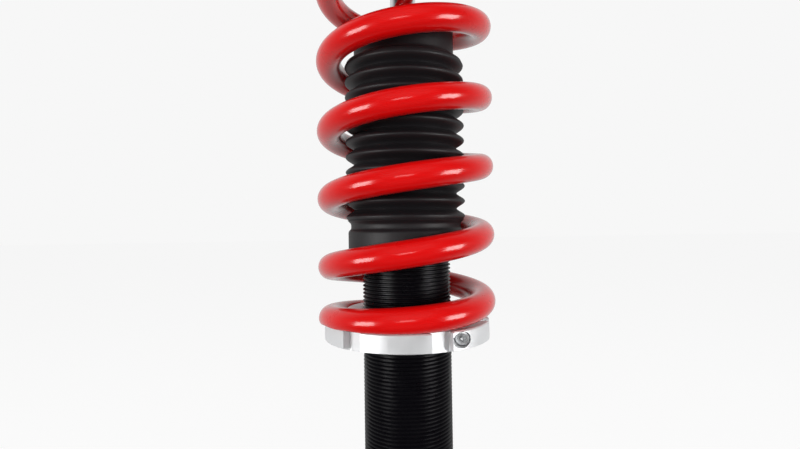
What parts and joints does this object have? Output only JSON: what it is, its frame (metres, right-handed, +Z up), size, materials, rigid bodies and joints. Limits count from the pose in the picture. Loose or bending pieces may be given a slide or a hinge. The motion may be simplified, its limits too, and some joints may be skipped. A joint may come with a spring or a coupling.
{
  "type": "coilover",
  "caption": "Coilover: threaded monotube damper in a red coil spring, with adjustable perch, dust boot, bushed lower eye and ball-jointed top plate.",
  "frame": {"origin": "centre of the lower eye, in the middle of its width", "axes": "+Z up the damper axis towards the top plate, +Y along the lower eye's bolt, +X completes the set"},
  "size_m": [0.104, 0.104, 0.488],
  "materials": {
    "black_anodised": "gloss black anodised",
    "red_powder": "gloss red powder coat",
    "machined_aluminium": "fine turned, bright",
    "boot_rubber": "matt moulded rubber",
    "seal_rubber": "smooth seal rubber",
    "hard_chrome": "polished hard chrome",
    "zinc_steel": "clear zinc plated",
    "hardened_steel": "ground hardened steel",
    "foam_polymer": "microcellular polyurethane",
    "bearing_band": "bronze-filled PTFE",
    "blue_anodised": "satin blue anodised"
  },
  "bodies": {
    "damper_body": {"threaded_body": "black_anodised", "lower_eye": "black_anodised", "base_oring": "seal_rubber", "eye_bush_rubber": "seal_rubber", "rod_guide": "machined_aluminium", "rod_seal": "seal_rubber", "gland_nut": "black_anodised"},
    "eye_sleeve": {"eye_bush_sleeve": "zinc_steel"},
    "gas_piston": {"gas_piston": "machined_aluminium", "gas_piston_oring": "seal_rubber"},
    "rod": {"piston_rod": "hard_chrome", "piston": "machined_aluminium", "piston_band": "bearing_band", "compression_shims": "hardened_steel", "rebound_shims": "hardened_steel", "piston_nut": "zinc_steel", "bump_stop": "foam_polymer", "dust_boot": "boot_rubber", "upper_spring_pad": "seal_rubber", "upper_spring_seat": "black_anodised", "lower_spacer": "zinc_steel", "pillow_ball": "hardened_steel", "upper_spacer": "zinc_steel", "top_nut": "zinc_steel"},
    "top_mount": {"top_plate": "machined_aluminium", "pillow_race": "zinc_steel", "race_circlip": "hardened_steel", "mount_stud_1": "zinc_steel", "mount_stud_2": "zinc_steel", "mount_stud_3": "zinc_steel"},
    "knob": {"adjuster_knob": "blue_anodised"},
    "needle": {"adjuster_needle": "hardened_steel"},
    "spring": {"coil_spring": "red_powder"},
    "perch": {"spring_perch": "machined_aluminium"},
    "pinch_bolt": {"pinch_bolt": "zinc_steel"}
  },
  "joints": [
    {"name": "damper_stroke", "type": "slide", "parent": "spring", "child": "rod", "axis": [0, 0, -1], "range_m": [0, 0.07], "stiffness_N_per_m": 105000, "springref_m": -0.003, "deforming": ["coil_spring", "dust_boot"]},
    {"name": "gas_piston_slide", "type": "slide", "parent": "damper_body", "child": "gas_piston", "axis": [0, 0, -1], "range_m": [0, 0.0086]},
    {"name": "mount_tilt", "type": "hinge", "parent": "rod", "child": "top_mount", "pos_m": [0, 0, 0.42744], "axis": [0, 1, 0], "range_deg": [-6, 6]},
    {"name": "knob_turn", "type": "hinge", "parent": "rod", "child": "knob", "pos_m": [0, 0, 0.465], "axis": [0, 0, 1], "range_deg": [-1080, 0]},
    {"name": "needle_travel", "type": "slide", "parent": "rod", "child": "needle", "axis": [0, 0, 1], "range_m": [-0.0024, 0]},
    {"name": "perch_lift", "type": "slide", "parent": "damper_body", "child": "spring", "axis": [0, 0, 1], "range_m": [-0.02, 0]},
    {"name": "perch_turn", "type": "hinge", "parent": "spring", "child": "perch", "pos_m": [0, 0, 0.169], "axis": [0, 0, 1], "range_deg": [-3600, 0]},
    {"name": "pinch_bolt_turn", "type": "hinge", "parent": "perch", "child": "pinch_bolt", "pos_m": [0.03013, -0.0064, 0.16905], "axis": [0.2079, 0.9781, 0], "range_deg": [-180, 0]},
    {"name": "bush_twist", "type": "hinge", "parent": "damper_body", "child": "eye_sleeve", "pos_m": [0, 0, 0], "axis": [0, 1, 0], "range_deg": [-15, 15], "stiffness_Nm_per_rad": 40}
  ],
  "couplings": [
    {"joint": "gas_piston_slide", "follows": "damper_stroke", "ratio": 0.1225},
    {"joint": "knob_turn", "follows": "needle_travel", "rad_per_m": 7854},
    {"joint": "perch_turn", "follows": "perch_lift", "rad_per_m": 3141.6}
  ]
}
